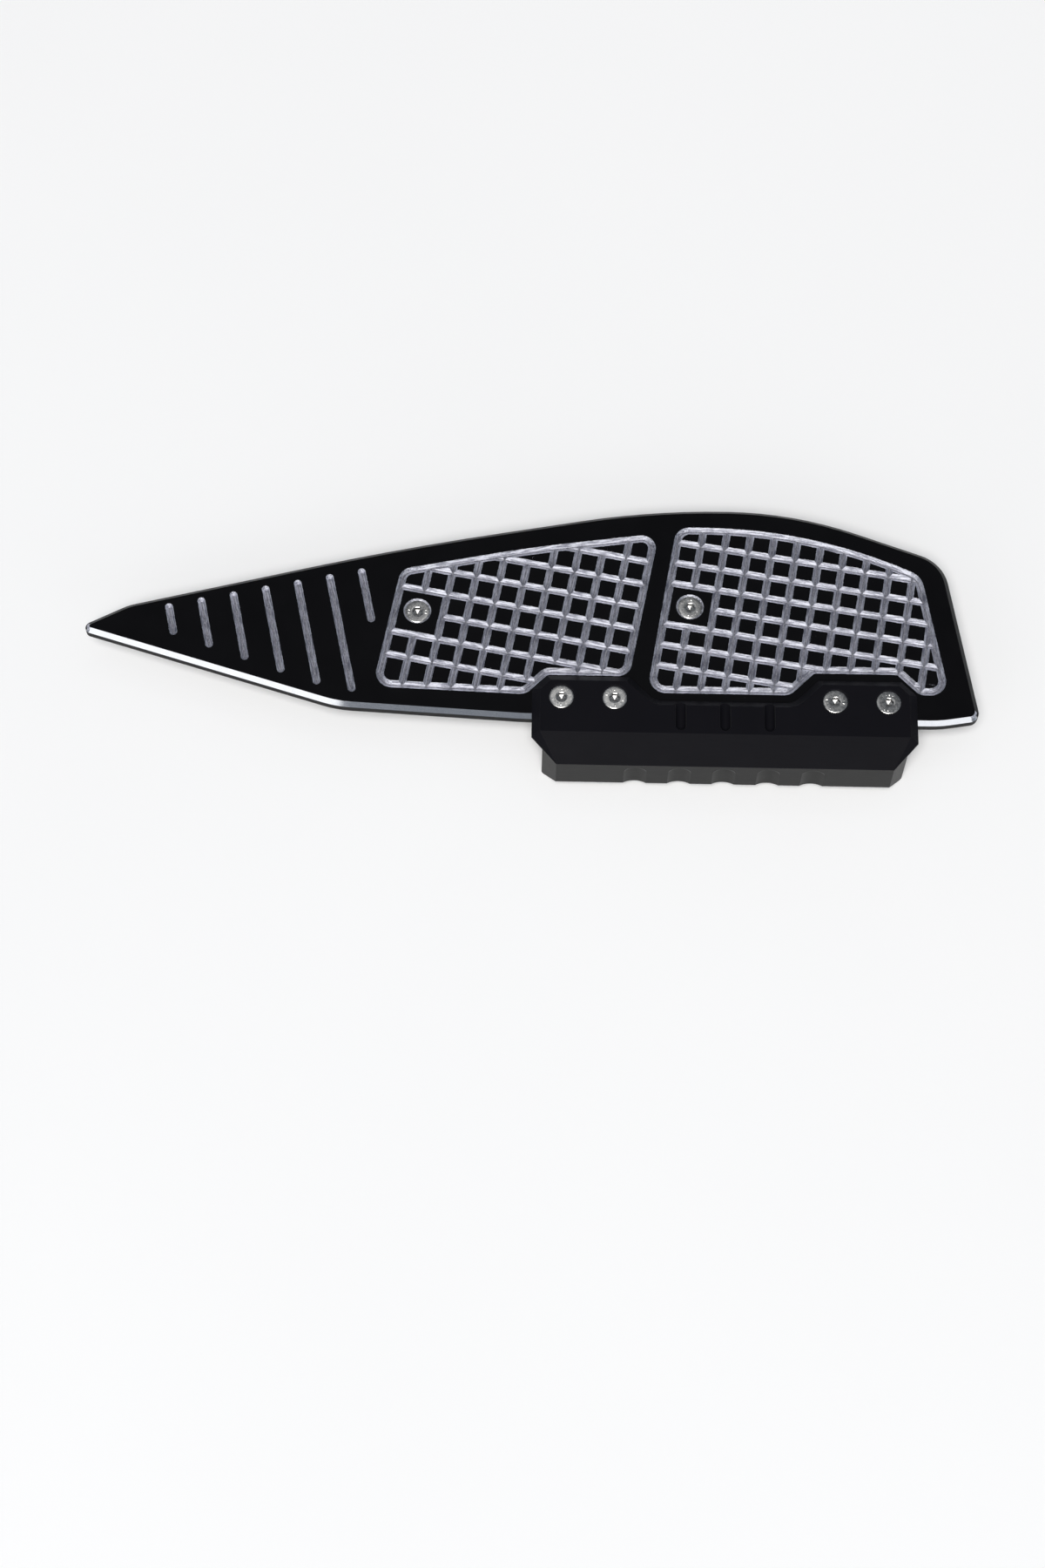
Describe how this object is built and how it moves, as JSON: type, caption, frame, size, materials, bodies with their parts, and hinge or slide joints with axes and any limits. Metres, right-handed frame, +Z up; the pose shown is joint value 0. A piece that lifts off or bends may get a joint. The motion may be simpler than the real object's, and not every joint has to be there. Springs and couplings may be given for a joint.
{
  "type": "scooter floorboard",
  "caption": "Grooved black aluminium floorboard plate for a scooter's footwell, with a lipped guard block screwed along its outer edge.",
  "frame": {"origin": "midway between the two plate screws, on the plate's underside", "axes": "+X along the guard, away from the pointed front end; +Y inboard, away from the guard; +Z up, out of the grooved face"},
  "size_m": [0.4325, 0.1393, 0.0315],
  "materials": {
    "plate_anodised": "satin black anodised, bare metal in the grooves and along the bevel",
    "guard_anodised": "satin black anodised",
    "screw_steel": "plain stainless"
  },
  "bodies": {
    "root": {"floor_plate": "plate_anodised", "side_guard": "guard_anodised", "guard_screws": "screw_steel", "plate_screws": "screw_steel"}
  },
  "joints": []
}
